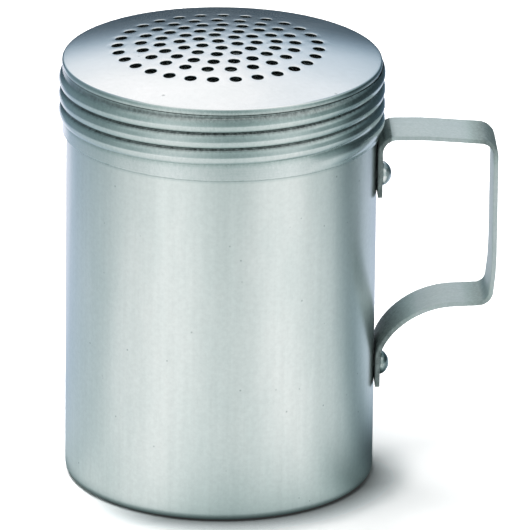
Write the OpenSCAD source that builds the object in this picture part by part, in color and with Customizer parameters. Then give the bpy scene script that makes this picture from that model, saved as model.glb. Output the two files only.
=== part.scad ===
// Aluminium dredge for spices: a drawn cup, a perforated screw lid and a riveted strap handle.
// Origin: centre of the base, on the surface it stands on. +Z up, the handle points to +X.

/* [Cup] */
// Outside diameter of the cup's straight wall
cup_od = 66.4; // [60:0.2:76]
// Height of the cup from its base to its lip
cup_h = 92.6; // [84:0.1:120]
// Sheet thickness of the cup
cup_wall = 0.8; // [0.6:0.05:1]
// Outside radius of the corner between the base and the wall
base_corner_r = 1.8; // [1.2:0.1:4]
// How far the neck is set in from the wall
neck_inset = 0.6; // [0.5:0.05:0.8]
// Height of the neck from its shoulder to the lip
neck_h = 13.2; // [13:0.1:15]

/* [Lid] */
// Sheet thickness of the lid
lid_wall = 0.7; // [0.5:0.05:0.9]
// Radial running gap between the lid's bore and the cup's wall
lid_fit = 0.15; // [0.1:0.05:0.4]
// Height of the skirt from its hem to the edge of the dome
skirt_h = 16; // [15.8:0.1:18]
// Rise of the dome from its edge to its crown
dome_rise = 3.6; // [2:0.1:8]
// How far the rounded rim stands out from the skirt
rim_proud = 0.1; // [0.05:0.05:0.6]
// Height of the rim band
rim_h = 1.4; // [1.3:0.1:1.8]
// Rounding between the dome and the rim
rim_round = 0.9; // [0.8:0.05:1.2]

/* [Rolled thread] */
// Rise of the thread in one turn
pitch = 3.5; // [3.2:0.1:3.7]
// How far a ridge of the lid stands out from its skirt
lid_ridge = 0.75; // [0.4:0.05:1]
// How far a ridge of the cup stands out from its neck
cup_ridge = 0.55; // [0.3:0.05:0.6]
// Flat left between two neighbouring ridges
groove_flat = 0.16; // [0.1:0.02:0.4]
// Height of the lid's first ridge above its hem, at the handle
thread_start = 2.8; // [2.7:0.01:3.2]

/* [Perforation] */
// Diameter of a shaker hole
hole_d = 2.5; // [1.5:0.05:2.8]
// Width of the rounded entry that punching leaves round a hole
hole_entry = 0.25; // [0.1:0.05:0.4]
// Radius of the first ring of holes
ring_1_r = 4.4; // [4:0.1:4.8]
// Radius of the second ring
ring_2_r = 8.2; // [8:0.1:8.8]
// Radius of the third ring
ring_3_r = 12.5; // [12:0.1:12.8]
// Radius of the fourth ring
ring_4_r = 16.5; // [16:0.1:17]
// Radius of the fifth ring
ring_5_r = 21.5; // [20.5:0.1:23]
// Holes in the first ring
ring_1_n = 6; // [4:1:7]
// Holes in the second ring
ring_2_n = 12; // [8:1:13]
// Holes in the third ring
ring_3_n = 18; // [12:1:20]
// Holes in the fourth ring
ring_4_n = 21; // [16:1:26]
// Holes in the fifth ring
ring_5_n = 28; // [20:1:36]
// Offset of the punched pattern from the axis, along X
pattern_x = -0.9; // [-1.5:0.1:1.5]
// Offset of the punched pattern from the axis, along Y
pattern_y = 0.7; // [-1.5:0.1:1.5]

/* [Handle] */
// Width of the strap
strap_w = 12.7; // [9:0.1:16]
// Thickness of the strap
strap_t = 1; // [0.8:0.05:1.4]
// Distance from the cup's wall to the outer face of the grip
handle_reach = 25.7; // [24:0.1:40]
// Height of the top face of the handle above the lid's hem
handle_over_hem = 0.3; // [-6:0.1:0.4]
// Height of the lower tab's end above the base
lower_end_z = 20.4; // [12:0.1:22]
// Length of the flat part of the upper tab
upper_tab_l = 9.9; // [9:0.1:12]
// Length of the flat part of the lower tab
lower_tab_l = 5.9; // [5.6:0.1:8]
// Corner radius at the ends of the strap
strap_end_r = 0.6; // [0.4:0.1:3]

/* [Rivets] */
// Diameter of a rivet's shank
rivet_d = 3.2; // [2.4:0.1:3.6]
// Diameter of a rivet's head
head_d = 5.2; // [4.6:0.1:6]
// Height of a rivet's head
head_h = 2.2; // [1.4:0.1:2.6]
// Distance from the end of a tab to its rivet
rivet_in = 3.4; // [3:0.1:4.5]
// Diameter of the formed tail inside the cup
tail_d = 4.8; // [4.2:0.1:5.4]
// Thickness of the formed tail
tail_h = 1.2; // [0.8:0.1:1.8]

/* [Fits] */
// Gap between the lid and the cup's lip, where the lid seats
lip_gap = 0.15; // [0.05:0.05:0.3]
// Radial gap between a rivet's shank and its holes
rivet_fit = 0.05; // [0.02:0.01:0.2]
// Gap between faces that are pulled together by the rivets
seat_gap = 0.02; // [0.01:0.01:0.1]

/* [Hidden] */
$fn = 96;

// Cup
cup_r = cup_od / 2;
bore_r = cup_r - cup_wall;
neck_r = cup_r - neck_inset;
neck_bore_r = neck_r - cup_wall;
neck_z = cup_h - neck_h;
lip_round = 0.3;

// Lid: the bore of its skirt clears the cup's wall, and its dome seats over the lip
skirt_bore_r = cup_r + lid_fit;
skirt_r = skirt_bore_r + lid_wall;
rim_r = skirt_r + rim_proud;
dome_r = (rim_r * rim_r + dome_rise * dome_rise) / (2 * dome_rise);
// Height of the inner dome above its own edge circle, over the outer edge of the lip
under_dome = sqrt(pow(dome_r - lid_wall, 2) - neck_r * neck_r) - (dome_r - dome_rise);
dome_edge_z = cup_h + lip_gap - under_dome;
dome_cz = dome_edge_z + dome_rise - dome_r;
hem_z = dome_edge_z - skirt_h;
rim_z = dome_edge_z - rim_h;
rim_foot = 0.4;
rings = [
    [ring_1_r, ring_1_n, -22.5],
    [ring_2_r, ring_2_n, -4],
    [ring_3_r, ring_3_n, 3.5],
    [ring_4_r, ring_4_n, 3],
    [ring_5_r, ring_5_n, -5]
];
head_side = 0.6;

// Thread: height of a ridge's centre where it crosses +X, and the angles where each one ends.
// The lid's ridge runs out below the dome, its groove inside below the rim, and the cup's ridge
// below the lip.
thread_z0 = hem_z + thread_start;
ridge_hw = (pitch - groove_flat) / 2;
groove_hw = ridge_hw - 0.35;
step_a = 8;
lid_ridge_a = [-60, min(1140, 360 / pitch * (dome_edge_z - 0.1 - ridge_hw - thread_z0))];
lid_groove_a = [-60, min(1052, 360 / pitch * (rim_z + rim_foot - 0.1 - groove_hw - thread_z0))];
cup_thread_a = [130, min(1020, 360 / pitch * (cup_h - lip_round - 0.1 - ridge_hw - thread_z0))];
fade_a = 48;

// Handle: radii and angles of the bends along the strap's centre line
strap_c = cup_r + seat_gap + strap_t / 2;
top_bend_r = 3.5;
top_flat = 4.6;
top_dip = 4;
top_dip_r = 40;
corner_r = 3.4;
grip_lean = 8;
grip_lean_r = 60;
low_corner_r = 2.8;
low_slope = 2.4;
sweep_a_r = 19;
sweep_a = 42;
sweep_b_r = 16;
sweep_b = 16;
sweep_c_r = 8;
sweep_c = 90 - low_slope - sweep_a - sweep_b;
top_face_z = hem_z + handle_over_hem;
upper_end_z = top_face_z - strap_t / 2 - top_bend_r - upper_tab_l;
upper_rivet_z = upper_end_z + rivet_in;
lower_rivet_z = lower_end_z + rivet_in;

// Lengths of the straights that close the loop between the two tabs and the grip
reach = handle_reach - strap_t - seat_gap;
top_run = (reach - top_bend_r - top_flat - top_dip_r * sin(top_dip)
           - corner_r * (1 - sin(top_dip))) / cos(top_dip);
low_drop = grip_lean_r * (1 - cos(grip_lean));
low_turn = low_corner_r * (cos(grip_lean) - sin(low_slope));
sweep_du = sweep_a_r * (sin(low_slope + sweep_a) - sin(low_slope))
         + sweep_b_r * (sin(low_slope + sweep_a + sweep_b) - sin(low_slope + sweep_a))
         + sweep_c_r * (1 - sin(low_slope + sweep_a + sweep_b));
low_run = (reach - low_drop - low_turn - sweep_du) / cos(low_slope);
sweep_dz = sweep_a_r * (cos(low_slope) - cos(low_slope + sweep_a))
         + sweep_b_r * (cos(low_slope + sweep_a) - cos(low_slope + sweep_a + sweep_b))
         + sweep_c_r * cos(low_slope + sweep_a + sweep_b);
corner_end_z = upper_end_z + upper_tab_l + top_bend_r - top_dip_r * (1 - cos(top_dip))
             - top_run * sin(top_dip) - corner_r * cos(top_dip);
corner_low_z = lower_end_z + lower_tab_l + sweep_dz + low_run * sin(low_slope)
             + low_corner_r * (cos(low_slope) - sin(grip_lean)) + grip_lean_r * sin(grip_lean);
grip_run = corner_end_z - corner_low_z;

// The strap's centre line from the upper tab's end: [length, 0] is a straight,
// [radius, angle] a bend, with left turns positive
strap_path = [
    [upper_tab_l, 0],
    [top_bend_r, -90],
    [top_flat, 0],
    [top_dip_r, -top_dip],
    [top_run, 0],
    [corner_r, top_dip - 90],
    [grip_run, 0],
    [grip_lean_r, -grip_lean],
    [low_corner_r, grip_lean + low_slope - 90],
    [low_run, 0],
    [sweep_a_r, sweep_a],
    [sweep_b_r, sweep_b],
    [sweep_c_r, sweep_c],
    [lower_tab_l, 0]
];

bend_step = 5;

function side(i) = strap_path[i][1] > 0 ? 1 : -1;
function left(h) = [-sin(h), cos(h)];
function heading(i) = i == 0 ? 90 : heading(i - 1) + strap_path[i - 1][1];
function place(i) =
    i == 0 ? [strap_c, upper_end_z] :
    strap_path[i - 1][1] == 0 ?
        place(i - 1) + strap_path[i - 1][0] * [cos(heading(i - 1)), sin(heading(i - 1))] :
        place(i - 1) + side(i - 1) * strap_path[i - 1][0] * (left(heading(i - 1)) - left(heading(i)));

// One turn of a ridge: f is 0 at its foot and 1 on its crest
function swell(s) = pow(1 - s * s, 0.6);
function fade(a, ends) = max(0, min(1, (a - ends[0]) / fade_a, (ends[1] - a) / fade_a));

// Helical ridge on a wall of radius r, standing out by h; depth is how far its root goes inside
module ridge(r, h, depth, hw, ends) {
    shape = [0.88, 0.5, 0, -0.5, -0.88];
    sink = 0.12;
    n = ceil((ends[1] - ends[0]) / step_a);
    m = len(shape) + 2;
    points = [
        for (i = [0:n])
            let (
                a = ends[0] + (ends[1] - ends[0]) * i / n,
                z = thread_z0 + pitch * a / 360,
                g = fade(a, ends)
            )
            each [
                [(r - depth) * cos(a), (r - depth) * sin(a), z - hw],
                [(r - depth) * cos(a), (r - depth) * sin(a), z + hw],
                for (s = shape)
                    let (q = r - sink + g * (h + sink) * swell(s))
                    [q * cos(a), q * sin(a), z + hw * s]
            ]
    ];
    faces = [
        [for (k = [0:m - 1]) k],
        for (i = [0:n - 1])
            for (k = [0:m - 1])
                let (p = i * m + k, q = i * m + (k + 1) % m)
                each [[p, p + m, q], [q, p + m, q + m]],
        [for (k = [m - 1:-1:0]) n * m + k]
    ];
    polyhedron(points, faces, convexity = 12);
}

// Half profile of the cup's outside (d = 0), or of its inside at a sheet's depth d
module cup_profile(d) {
    translate([0, base_corner_r])
        square([cup_r - d, neck_z - base_corner_r]);
    translate([0, d])
        square([cup_r - base_corner_r, base_corner_r]);
    translate([cup_r - base_corner_r, base_corner_r])
        circle(base_corner_r - d);
}

module rivet_hole(z) {
    translate([bore_r - 2, 0, z])
        rotate([0, 90, 0])
            cylinder(h = cup_wall + strap_t + 4, r = rivet_d / 2 + rivet_fit);
}

module cup() {
    color("lightsteelblue")
        difference() {
            union() {
                rotate_extrude() {
                    cup_profile(0);
                    polygon([
                        [0, neck_z - 1],
                        [cup_r, neck_z - 1],
                        [cup_r, neck_z],
                        [neck_r, neck_z + neck_inset],
                        [neck_r, cup_h - lip_round],
                        [neck_r - lip_round, cup_h],
                        [0, cup_h]
                    ]);
                }
                ridge(neck_r, cup_ridge, 0.3, ridge_hw, cup_thread_a);
            }
            rotate_extrude() {
                cup_profile(cup_wall);
                polygon([
                    [0, neck_z - 1],
                    [bore_r, neck_z - 1],
                    [bore_r, neck_z - cup_wall / 2],
                    [neck_bore_r, neck_z + neck_inset - cup_wall / 2],
                    [neck_bore_r, cup_h + 1],
                    [0, cup_h + 1]
                ]);
            }
            ridge(neck_bore_r, cup_ridge, 0.5, groove_hw, cup_thread_a);
            rivet_hole(upper_rivet_z);
            rivet_hole(lower_rivet_z);
        }
}

// Half profile of the lid's outside. The rim's rounding touches the dome's arc and the rim's wall.
module lid_outside() {
    cx = rim_r - rim_round;
    cz = dome_cz + sqrt(pow(dome_r - rim_round, 2) - cx * cx);
    touch_r = cx / (dome_r - rim_round) * dome_r;
    intersection() {
        translate([0, dome_cz])
            circle(dome_r, $fn = 720);
        translate([0, rim_z + 1])
            square([touch_r, dome_rise + rim_h]);
    }
    translate([cx, cz])
        circle(rim_round);
    translate([0, rim_z + rim_foot])
        square([rim_r, cz - rim_z - rim_foot]);
    translate([rim_r - rim_foot, rim_z + rim_foot])
        circle(rim_foot);
    translate([0, rim_z])
        square([rim_r - rim_foot, rim_foot + 1]);
    translate([0, hem_z])
        square([skirt_r, rim_z + 1 - hem_z]);
}

// Half profile of the lid's inside, a sheet's thickness in
module lid_inside() {
    intersection() {
        translate([0, dome_cz])
            circle(dome_r - lid_wall, $fn = 720);
        translate([0, rim_z + rim_foot])
            square([rim_r - lid_wall, dome_rise + rim_h]);
    }
    translate([0, hem_z - 1])
        square([skirt_bore_r, rim_z + rim_foot + 1.2 - hem_z]);
}

// One punched hole through the dome, with its rounded entry, at a distance and an angle
// from the middle of the pattern
module shaker_hole(d, a) {
    x = pattern_x + d * cos(a);
    y = pattern_y + d * sin(a);
    z = dome_cz + sqrt(dome_r * dome_r - x * x - y * y);
    r = hole_d / 2;
    translate([x, y, z])
        rotate([0, 0, a + 90])
            rotate_extrude($fn = 32)
                polygon([
                    [0, -3],
                    [r, -3],
                    [r, -hole_entry],
                    [r + 2.5 * hole_entry, 1.5 * hole_entry],
                    [0, 1.5 * hole_entry]
                ]);
}

module perforation() {
    shaker_hole(0, 0);
    for (ring = rings, k = [0:ring[1] - 1])
        shaker_hole(ring[0], ring[2] + 360 * k / ring[1]);
}

module lid() {
    color("gainsboro")
        difference() {
            union() {
                rotate_extrude()
                    lid_outside();
                ridge(skirt_r, lid_ridge, 0.35, ridge_hw, lid_ridge_a);
            }
            rotate_extrude()
                lid_inside();
            ridge(skirt_bore_r, lid_ridge, 0.5, groove_hw, lid_groove_a);
            perforation();
        }
}

// The strap seen from its edge, as one outline round its centre line
module strap_outline() {
    line = [
        for (i = [0:len(strap_path) - 1])
            let (
                l = strap_path[i][0],
                turn = strap_path[i][1],
                h = heading(i),
                n = ceil(abs(turn) / bend_step)
            )
            each turn == 0 ?
                [[place(i), h]] :
                [
                    for (k = [0:n - 1])
                        [place(i) + side(i) * l * (left(h) - left(h + turn * k / n)), h + turn * k / n]
                ]
    ];
    last = [[place(len(strap_path)), heading(len(strap_path))]];
    all = concat(line, last);
    polygon(concat(
        [for (p = all) p[0] + left(p[1]) * strap_t / 2],
        [for (k = [len(all) - 1:-1:0]) all[k][0] - left(all[k][1]) * strap_t / 2]
    ));
}

// What rounding takes off one lower corner of a tab
module tab_corner(z, y) {
    s = y > 0 ? 1 : -1;
    difference() {
        translate([cup_r - 1, min(y, y - s * strap_end_r), z])
            cube([strap_t + 2, strap_end_r, strap_end_r]);
        translate([cup_r - 2, y - s * strap_end_r, z + strap_end_r])
            rotate([0, 90, 0])
                cylinder(h = strap_t + 4, r = strap_end_r);
    }
}

module handle_strap() {
    color("silver")
        difference() {
            rotate([90, 0, 0])
                linear_extrude(strap_w, center = true)
                    strap_outline();
            for (z = [upper_end_z, lower_end_z], y = [-strap_w / 2, strap_w / 2])
                tab_corner(z, y);
            rivet_hole(upper_rivet_z);
            rivet_hole(lower_rivet_z);
        }
}

// Round-head rivet along +X through the tab and the cup's wall, its tail formed inside the cup
module rivet(z) {
    tail_x = sqrt(bore_r * bore_r - tail_d * tail_d / 4) - seat_gap;
    head_x = cup_r + seat_gap + strap_t + seat_gap;
    cap_h = head_h - head_side;
    cap_r = (head_d * head_d / 4 + cap_h * cap_h) / (2 * cap_h);
    translate([0, 0, z])
        rotate([0, 90, 0])
            rotate_extrude() {
                translate([0, tail_x - tail_h / 2])
                    square([rivet_d / 2, head_x - tail_x + tail_h / 2 + head_side / 2]);
                polygon([
                    [0, tail_x - tail_h],
                    [tail_d / 2 - tail_h / 3, tail_x - tail_h],
                    [tail_d / 2, tail_x - tail_h * 2 / 3],
                    [tail_d / 2, tail_x],
                    [0, tail_x]
                ]);
                translate([0, head_x])
                    square([head_d / 2, head_side]);
                intersection() {
                    translate([0, head_x + head_h - cap_r])
                        circle(cap_r);
                    translate([0, head_x + head_side / 2])
                        square([head_d / 2, head_h]);
                }
            }
}

module upper_rivet() {
    color("darkgray")
        rivet(upper_rivet_z);
}

module lower_rivet() {
    color("darkgray")
        rivet(lower_rivet_z);
}

cup();
lid();
handle_strap();
upper_rivet();
lower_rivet();
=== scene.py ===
"""Aluminium spice dredge: a drawn cup, a perforated screw lid and a riveted strap handle.

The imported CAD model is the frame. Every piece is built here in millimetres, in the part's own frame
(origin at the middle of the base, +Z up, the handle towards +X), turned into metres once, and rides on
the body of the CAD node that it stands for.
"""

from __future__ import annotations

import logging
import math
from dataclasses import dataclass, field, replace
from enum import Enum
from typing import Callable, Iterable, Sequence

import bmesh
import bpy
import numpy as np
from mathutils import Matrix, Vector
from mathutils.geometry import delaunay_2d_cdt

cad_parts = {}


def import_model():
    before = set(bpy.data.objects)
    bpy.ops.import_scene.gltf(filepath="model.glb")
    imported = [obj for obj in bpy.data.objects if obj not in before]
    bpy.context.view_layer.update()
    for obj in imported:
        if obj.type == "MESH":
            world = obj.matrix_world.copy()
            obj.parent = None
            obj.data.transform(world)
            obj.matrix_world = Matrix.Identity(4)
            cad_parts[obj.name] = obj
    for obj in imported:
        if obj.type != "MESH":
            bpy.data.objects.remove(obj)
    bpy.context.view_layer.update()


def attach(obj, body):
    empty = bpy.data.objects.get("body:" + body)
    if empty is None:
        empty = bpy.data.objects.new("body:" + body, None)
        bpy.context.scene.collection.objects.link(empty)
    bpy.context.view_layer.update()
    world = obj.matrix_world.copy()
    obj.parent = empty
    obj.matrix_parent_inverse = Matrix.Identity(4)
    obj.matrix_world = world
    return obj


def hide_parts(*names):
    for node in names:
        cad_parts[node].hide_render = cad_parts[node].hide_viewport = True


log = logging.getLogger("dredge")

MM = 0.001
TAU = 2 * math.pi

Point = tuple[float, float, float]


# ---------------------------------------------------------------- colours and nodes


def linear(code: str) -> tuple[float, float, float, float]:
    """Turns an sRGB colour into Blender's linear one.

    Args:
        code: The colour as six hexadecimal digits, such as "c8d5d6".

    Returns:
        Red, green, blue and an alpha of one.
    """
    parts = [int(code[i:i + 2], 16) / 255 for i in (0, 2, 4)]
    flat = [c / 12.92 if c <= 0.04045 else ((c + 0.055) / 1.055) ** 2.4 for c in parts]
    return flat[0], flat[1], flat[2], 1.0


def add(tree: bpy.types.NodeTree, kind: str, links: dict | None = None, **settings: object) -> bpy.types.Node:
    """Adds one node with its settings, values and links.

    Args:
        tree: The node tree that gets it.
        kind: The node's class name.
        links: Input name or index to the output socket that feeds it, or to a plain value.
        **settings: Properties of the node itself.

    Returns:
        The new node.
    """
    node = tree.nodes.new(kind)
    for name, value in settings.items():
        setattr(node, name, value)
    for key, source in (links or {}).items():
        socket = node.inputs[key]
        if isinstance(source, bpy.types.NodeSocket):
            tree.links.new(source, socket)
        else:
            socket.default_value = source
    return node


# ---------------------------------------------------------------- finishes


class Grain(Enum):
    """The way the fine lines of a metal surface run."""

    ROUND = "round the axis"
    ALONG = "along the strip"


@dataclass(frozen=True)
class SatinAluminium:
    """Bare aluminium sheet, drawn or spun and lightly brushed.

    The lines that the tool leaves spread each highlight across them, so a wall that was turned shows
    soft bands from top to bottom. Handling leaves faint smears and specks.
    """

    name: str
    tone: str
    shade: str
    roughness: float
    anisotropy: float
    grain: Grain
    streak: float = 0.0
    line_mm: float = 0.35
    line_depth_mm: float = 0.004
    speck_mm: float = 2.6

    def make(self) -> bpy.types.Material:
        """Builds the material and returns it."""
        material = bpy.data.materials.new(self.name)
        material.use_nodes = True
        tree = material.node_tree
        tree.nodes.clear()
        place = add(tree, "ShaderNodeTexCoord").outputs["Object"]
        lines = self._lines(tree, place)
        smears = add(tree, "ShaderNodeTexNoise", {
            "Vector": add(tree, "ShaderNodeVectorMath", {0: place, 1: (1.0, 1.0, 0.35)},
                          operation="MULTIPLY").outputs[0],
            "Scale": 1 / (14 * MM), "Detail": 4.0, "Roughness": 0.6}).outputs["Fac"]
        specks = self._specks(tree, place)
        tint = add(tree, "ShaderNodeMix", {
            "Factor": add(tree, "ShaderNodeMapRange", {
                "Value": smears, "From Min": 0.35, "From Max": 0.68}).outputs[0],
            6: linear(self.shade), 7: linear(self.tone)}, data_type="RGBA").outputs[2]
        tint = add(tree, "ShaderNodeVectorMath", {
            0: tint, "Scale": self._streaks(tree, place)}, operation="SCALE").outputs[0]
        tint = add(tree, "ShaderNodeMix", {
            "Factor": specks, 6: tint, 7: linear("6f7c7e")}, data_type="RGBA").outputs[2]
        worn_and_shaded = self._wear_and_shade(tree, place)
        # Up to 0.35 the map turns the metal a greyer tint (c4d1cf), and beyond it towards near-black (1f2627). The
        # near-black end is painted shade: in the holes and grooves, under the rim, at the hems, at the cup's foot and
        # on the strap beside the cup.
        for start, end, colour in ((0.0, 0.35, "c4d1cf"), (0.35, 1.0, "1f2627")):
            part = add(tree, "ShaderNodeMapRange", {
                "Value": worn_and_shaded, "From Min": start, "From Max": end}).outputs[0]
            tint = add(tree, "ShaderNodeMix", {"Factor": part, 6: tint, 7: linear(colour)}, data_type="RGBA").outputs[2]
        rough = add(tree, "ShaderNodeMapRange", {
            "Value": smears, "From Min": 0.3, "From Max": 0.7,
            "To Min": self.roughness + 0.02, "To Max": self.roughness - 0.02}).outputs[0]
        height = add(tree, "ShaderNodeMath", {
            0: lines, 1: add(tree, "ShaderNodeMath", {0: specks, 1: -2.0}, operation="MULTIPLY").outputs[0]},
            operation="ADD").outputs[0]
        bump = add(tree, "ShaderNodeBump", {
            "Height": height, "Strength": 1.0, "Distance": self.line_depth_mm * MM}).outputs[0]
        shader = add(tree, "ShaderNodeBsdfPrincipled", {
            "Base Color": tint, "Metallic": 1.0, "Roughness": rough, "Anisotropic": self.anisotropy,
            "Normal": bump, "Tangent": self._flow(tree, place)}).outputs[0]
        add(tree, "ShaderNodeOutputMaterial", {"Surface": shader})
        return material

    def _flow(self, tree: bpy.types.NodeTree, place: bpy.types.NodeSocket) -> bpy.types.NodeSocket:
        """Gives the direction across the lines, in the surface, that a highlight is stretched to."""
        if self.grain is Grain.ALONG:
            lines = add(tree, "ShaderNodeAttribute", attribute_name="flow").outputs["Vector"]
        else:
            lines = add(tree, "ShaderNodeVectorMath", {0: (0.0, 0.0, 1.0), 1: place},
                        operation="CROSS_PRODUCT").outputs[0]
        return add(tree, "ShaderNodeVectorMath", {
            0: add(tree, "ShaderNodeNewGeometry").outputs["Normal"], 1: lines},
            operation="CROSS_PRODUCT").outputs[0]

    def _lines(self, tree: bpy.types.NodeTree, place: bpy.types.NodeSocket) -> bpy.types.NodeSocket:
        """Gives the height of the fine lines: the noise is stretched the way the tool ran."""
        split = add(tree, "ShaderNodeSeparateXYZ", {0: place}).outputs
        if self.grain is Grain.ALONG:
            where = add(tree, "ShaderNodeCombineXYZ", {
                0: add(tree, "ShaderNodeMath", {0: split[0], 1: 0.04}, operation="MULTIPLY").outputs[0],
                1: split[1],
                2: add(tree, "ShaderNodeMath", {0: split[2], 1: 0.04}, operation="MULTIPLY").outputs[0]})
        else:
            away = add(tree, "ShaderNodeVectorMath", {0: place, 1: (1.0, 1.0, 0.0)},
                       operation="MULTIPLY").outputs[0]
            away = add(tree, "ShaderNodeVectorMath", {0: away}, operation="LENGTH").outputs["Value"]
            where = add(tree, "ShaderNodeCombineXYZ", {
                0: away, 1: split[2],
                2: add(tree, "ShaderNodeMath", {0: split[0], 1: 0.03}, operation="MULTIPLY").outputs[0]})
        return add(tree, "ShaderNodeTexNoise", {
            "Vector": where.outputs[0], "Scale": 1 / (self.line_mm * MM), "Detail": 3.0,
            "Roughness": 0.65}).outputs["Fac"]

    def _streaks(self, tree: bpy.types.NodeTree, place: bpy.types.NodeSocket) -> bpy.types.NodeSocket:
        """Gives a number near one that varies in fine streaks, the way the sheet was drawn, and in a faint mottle."""
        long = (0.05, 1.0, 0.05) if self.grain is Grain.ALONG else (1.0, 1.0, 0.03)
        value = None
        for squeeze, size_mm, share in ((long, 1.4, 0.7), ((1.0, 1.0, 1.0), 0.9, 1.0)):
            noise = add(tree, "ShaderNodeTexNoise", {
                "Vector": add(tree, "ShaderNodeVectorMath", {0: place, 1: squeeze}, operation="MULTIPLY").outputs[0],
                "Scale": 1 / (size_mm * MM), "Detail": 3.0, "Roughness": 0.6}).outputs["Fac"]
            part = add(tree, "ShaderNodeMapRange", {
                "Value": noise, "From Min": 0.3, "From Max": 0.7,
                "To Min": 1 - self.streak * share, "To Max": 1 + 0.8 * self.streak * share}).outputs[0]
            value = part if value is None else add(
                tree, "ShaderNodeMath", {0: value, 1: part}, operation="MULTIPLY").outputs[0]
        return value

    def _wear_and_shade(self, tree: bpy.types.NodeTree, place: bpy.types.NodeSocket) -> bpy.types.NodeSocket:
        """Gives how worn a place is and how much shade is painted on it, broken up into small patches that stand a
        little upright.
        """
        given = add(tree, "ShaderNodeAttribute", attribute_name="shade_and_wear").outputs["Fac"]
        noise = add(tree, "ShaderNodeTexNoise", {
            "Vector": add(tree, "ShaderNodeVectorMath", {0: place, 1: (1.0, 1.0, 0.6)}, operation="MULTIPLY").outputs[0],
            "Scale": 1 / (0.6 * MM), "Detail": 5.0, "Roughness": 0.7}).outputs["Fac"]
        patches = add(tree, "ShaderNodeMapRange", {
            "Value": noise, "From Min": 0.3, "From Max": 0.7, "To Min": 0.8, "To Max": 1.2}).outputs[0]
        return add(tree, "ShaderNodeMath", {0: given, 1: patches}, operation="MULTIPLY").outputs[0]

    def _specks(self, tree: bpy.types.NodeTree, place: bpy.types.NodeSocket) -> bpy.types.NodeSocket:
        """Gives one on a few small pits and zero elsewhere, about one cell in four holding a pit."""
        cells = add(tree, "ShaderNodeTexVoronoi", {
            "Vector": place, "Scale": 1 / (self.speck_mm * MM), "Randomness": 1.0})
        dot = add(tree, "ShaderNodeMapRange", {
            "Value": cells.outputs["Distance"], "From Min": 0.04, "From Max": 0.11,
            "To Min": 0.45, "To Max": 0.0}).outputs[0]
        pick = add(tree, "ShaderNodeSeparateColor", {0: cells.outputs["Color"]}).outputs[0]
        keep = add(tree, "ShaderNodeMath", {0: pick, 1: 0.24}, operation="LESS_THAN").outputs[0]
        return add(tree, "ShaderNodeMath", {0: dot, 1: keep}, operation="MULTIPLY").outputs[0]


@dataclass(frozen=True)
class Finishes:
    """The finishes of the dredge, each named for the metal and how it was worked."""

    cup: SatinAluminium = SatinAluminium(
        "Drawn aluminium, satin", "eef2f0", "e5ecea", 0.32, 0.6, Grain.ROUND, 0.045)
    lid: SatinAluminium = SatinAluminium(
        "Spun aluminium, satin", "f7f8f9", "f1f3f4", 0.2, 0.3, Grain.ROUND, 0.02, speck_mm=4.5)
    strap: SatinAluminium = SatinAluminium(
        "Rolled aluminium strip", "fbfbff", "f2f4fa", 0.58, 0.7, Grain.ALONG, 0.09, 0.3, 0.007, 4.0)
    rivet: SatinAluminium = SatinAluminium(
        "Upset aluminium rivet", "f2f3f2", "e8eae9", 0.2, 0.0, Grain.ROUND, 0.03, 0.5, 0.006, 3.0)


# ---------------------------------------------------------------- mesh helpers


@dataclass
class Shell:
    """Vertices in millimetres and faces that are being put together into one mesh."""

    points: list[Point] = field(default_factory=list)
    faces: list[tuple[int, ...]] = field(default_factory=list)

    def grid(self, rows: Sequence[Sequence[Point]], shift: int = 0, flip: bool = False) -> None:
        """Adds a closed band of faces.

        Args:
            rows: Rings of points, all of one length.
            shift: How many rows further up the band joins where it closes, for a spiral.
            flip: Turns the faces over.
        """
        start, n = len(self.points), len(rows[0])
        for row in rows:
            self.points.extend(row)
        for j in range(len(rows) - 1):
            for i in range(n):
                k, up = (i + 1) % n, shift if i == n - 1 else 0
                if j + 1 + up >= len(rows):
                    continue
                quad = (start + j * n + i, start + (j + up) * n + k,
                        start + (j + 1 + up) * n + k, start + (j + 1) * n + i)
                self.faces.append(quad[::-1] if flip else quad)

    def add(self, points: Iterable[Point], faces: Iterable[Sequence[int]]) -> None:
        """Adds points and the faces between them."""
        start = len(self.points)
        self.points.extend(tuple(p) for p in points)
        self.faces.extend(tuple(start + i for i in face) for face in faces)

    def build(self, name: str, weld_mm: float = 0.003, crease: float = 38.0) -> bpy.types.Object:
        """Makes the object, welded, its normals outward and its edges sharp past an angle.

        Args:
            name: The object's name.
            weld_mm: Points nearer than this become one.
            crease: Angle in degrees past which an edge stays sharp.

        Returns:
            The object, at the origin, in metres.
        """
        mesh = bpy.data.meshes.new(name)
        mesh.from_pydata([tuple(c * MM for c in p) for p in self.points], [], self.faces)
        work = bmesh.new()
        work.from_mesh(mesh)
        bmesh.ops.remove_doubles(work, verts=work.verts, dist=weld_mm * MM)
        bmesh.ops.dissolve_degenerate(work, edges=work.edges, dist=0.0002 * MM)
        bmesh.ops.recalc_face_normals(work, faces=work.faces)
        work.to_mesh(mesh)
        work.free()
        return finish_mesh(name, mesh, crease)


def finish_mesh(name: str, mesh: bpy.types.Mesh, crease: float = 38.0) -> bpy.types.Object:
    """Shades a mesh smooth but for its sharp edges and returns an object that holds it."""
    mesh.shade_smooth()
    mesh.set_sharp_from_angle(angle=math.radians(crease))
    thing = bpy.data.objects.new(name, mesh)
    bpy.context.scene.collection.objects.link(thing)
    return thing


def shade_and_wear(mesh: bpy.types.Mesh, wear_and_painted_shade: Callable[[float, float, float], float]) -> None:
    """Marks where the metal is made darker, for the finish to read: some plain wear, mostly painted shade.

    Args:
        mesh: A finished mesh in metres.
        wear_and_painted_shade: Gives a share from 0 to 1 at a point in millimetres.
    """
    mark = mesh.attributes.new("shade_and_wear", "FLOAT", "POINT")
    for vert, slot in zip(mesh.vertices, mark.data):
        slot.value = wear_and_painted_shade(*(c / MM for c in vert.co))


def ring(radius: float, z: float, count: int) -> list[Point]:
    """Gives the points of a level circle round the axis."""
    return [(radius * math.cos(TAU * i / count), radius * math.sin(TAU * i / count), z) for i in range(count)]


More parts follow.
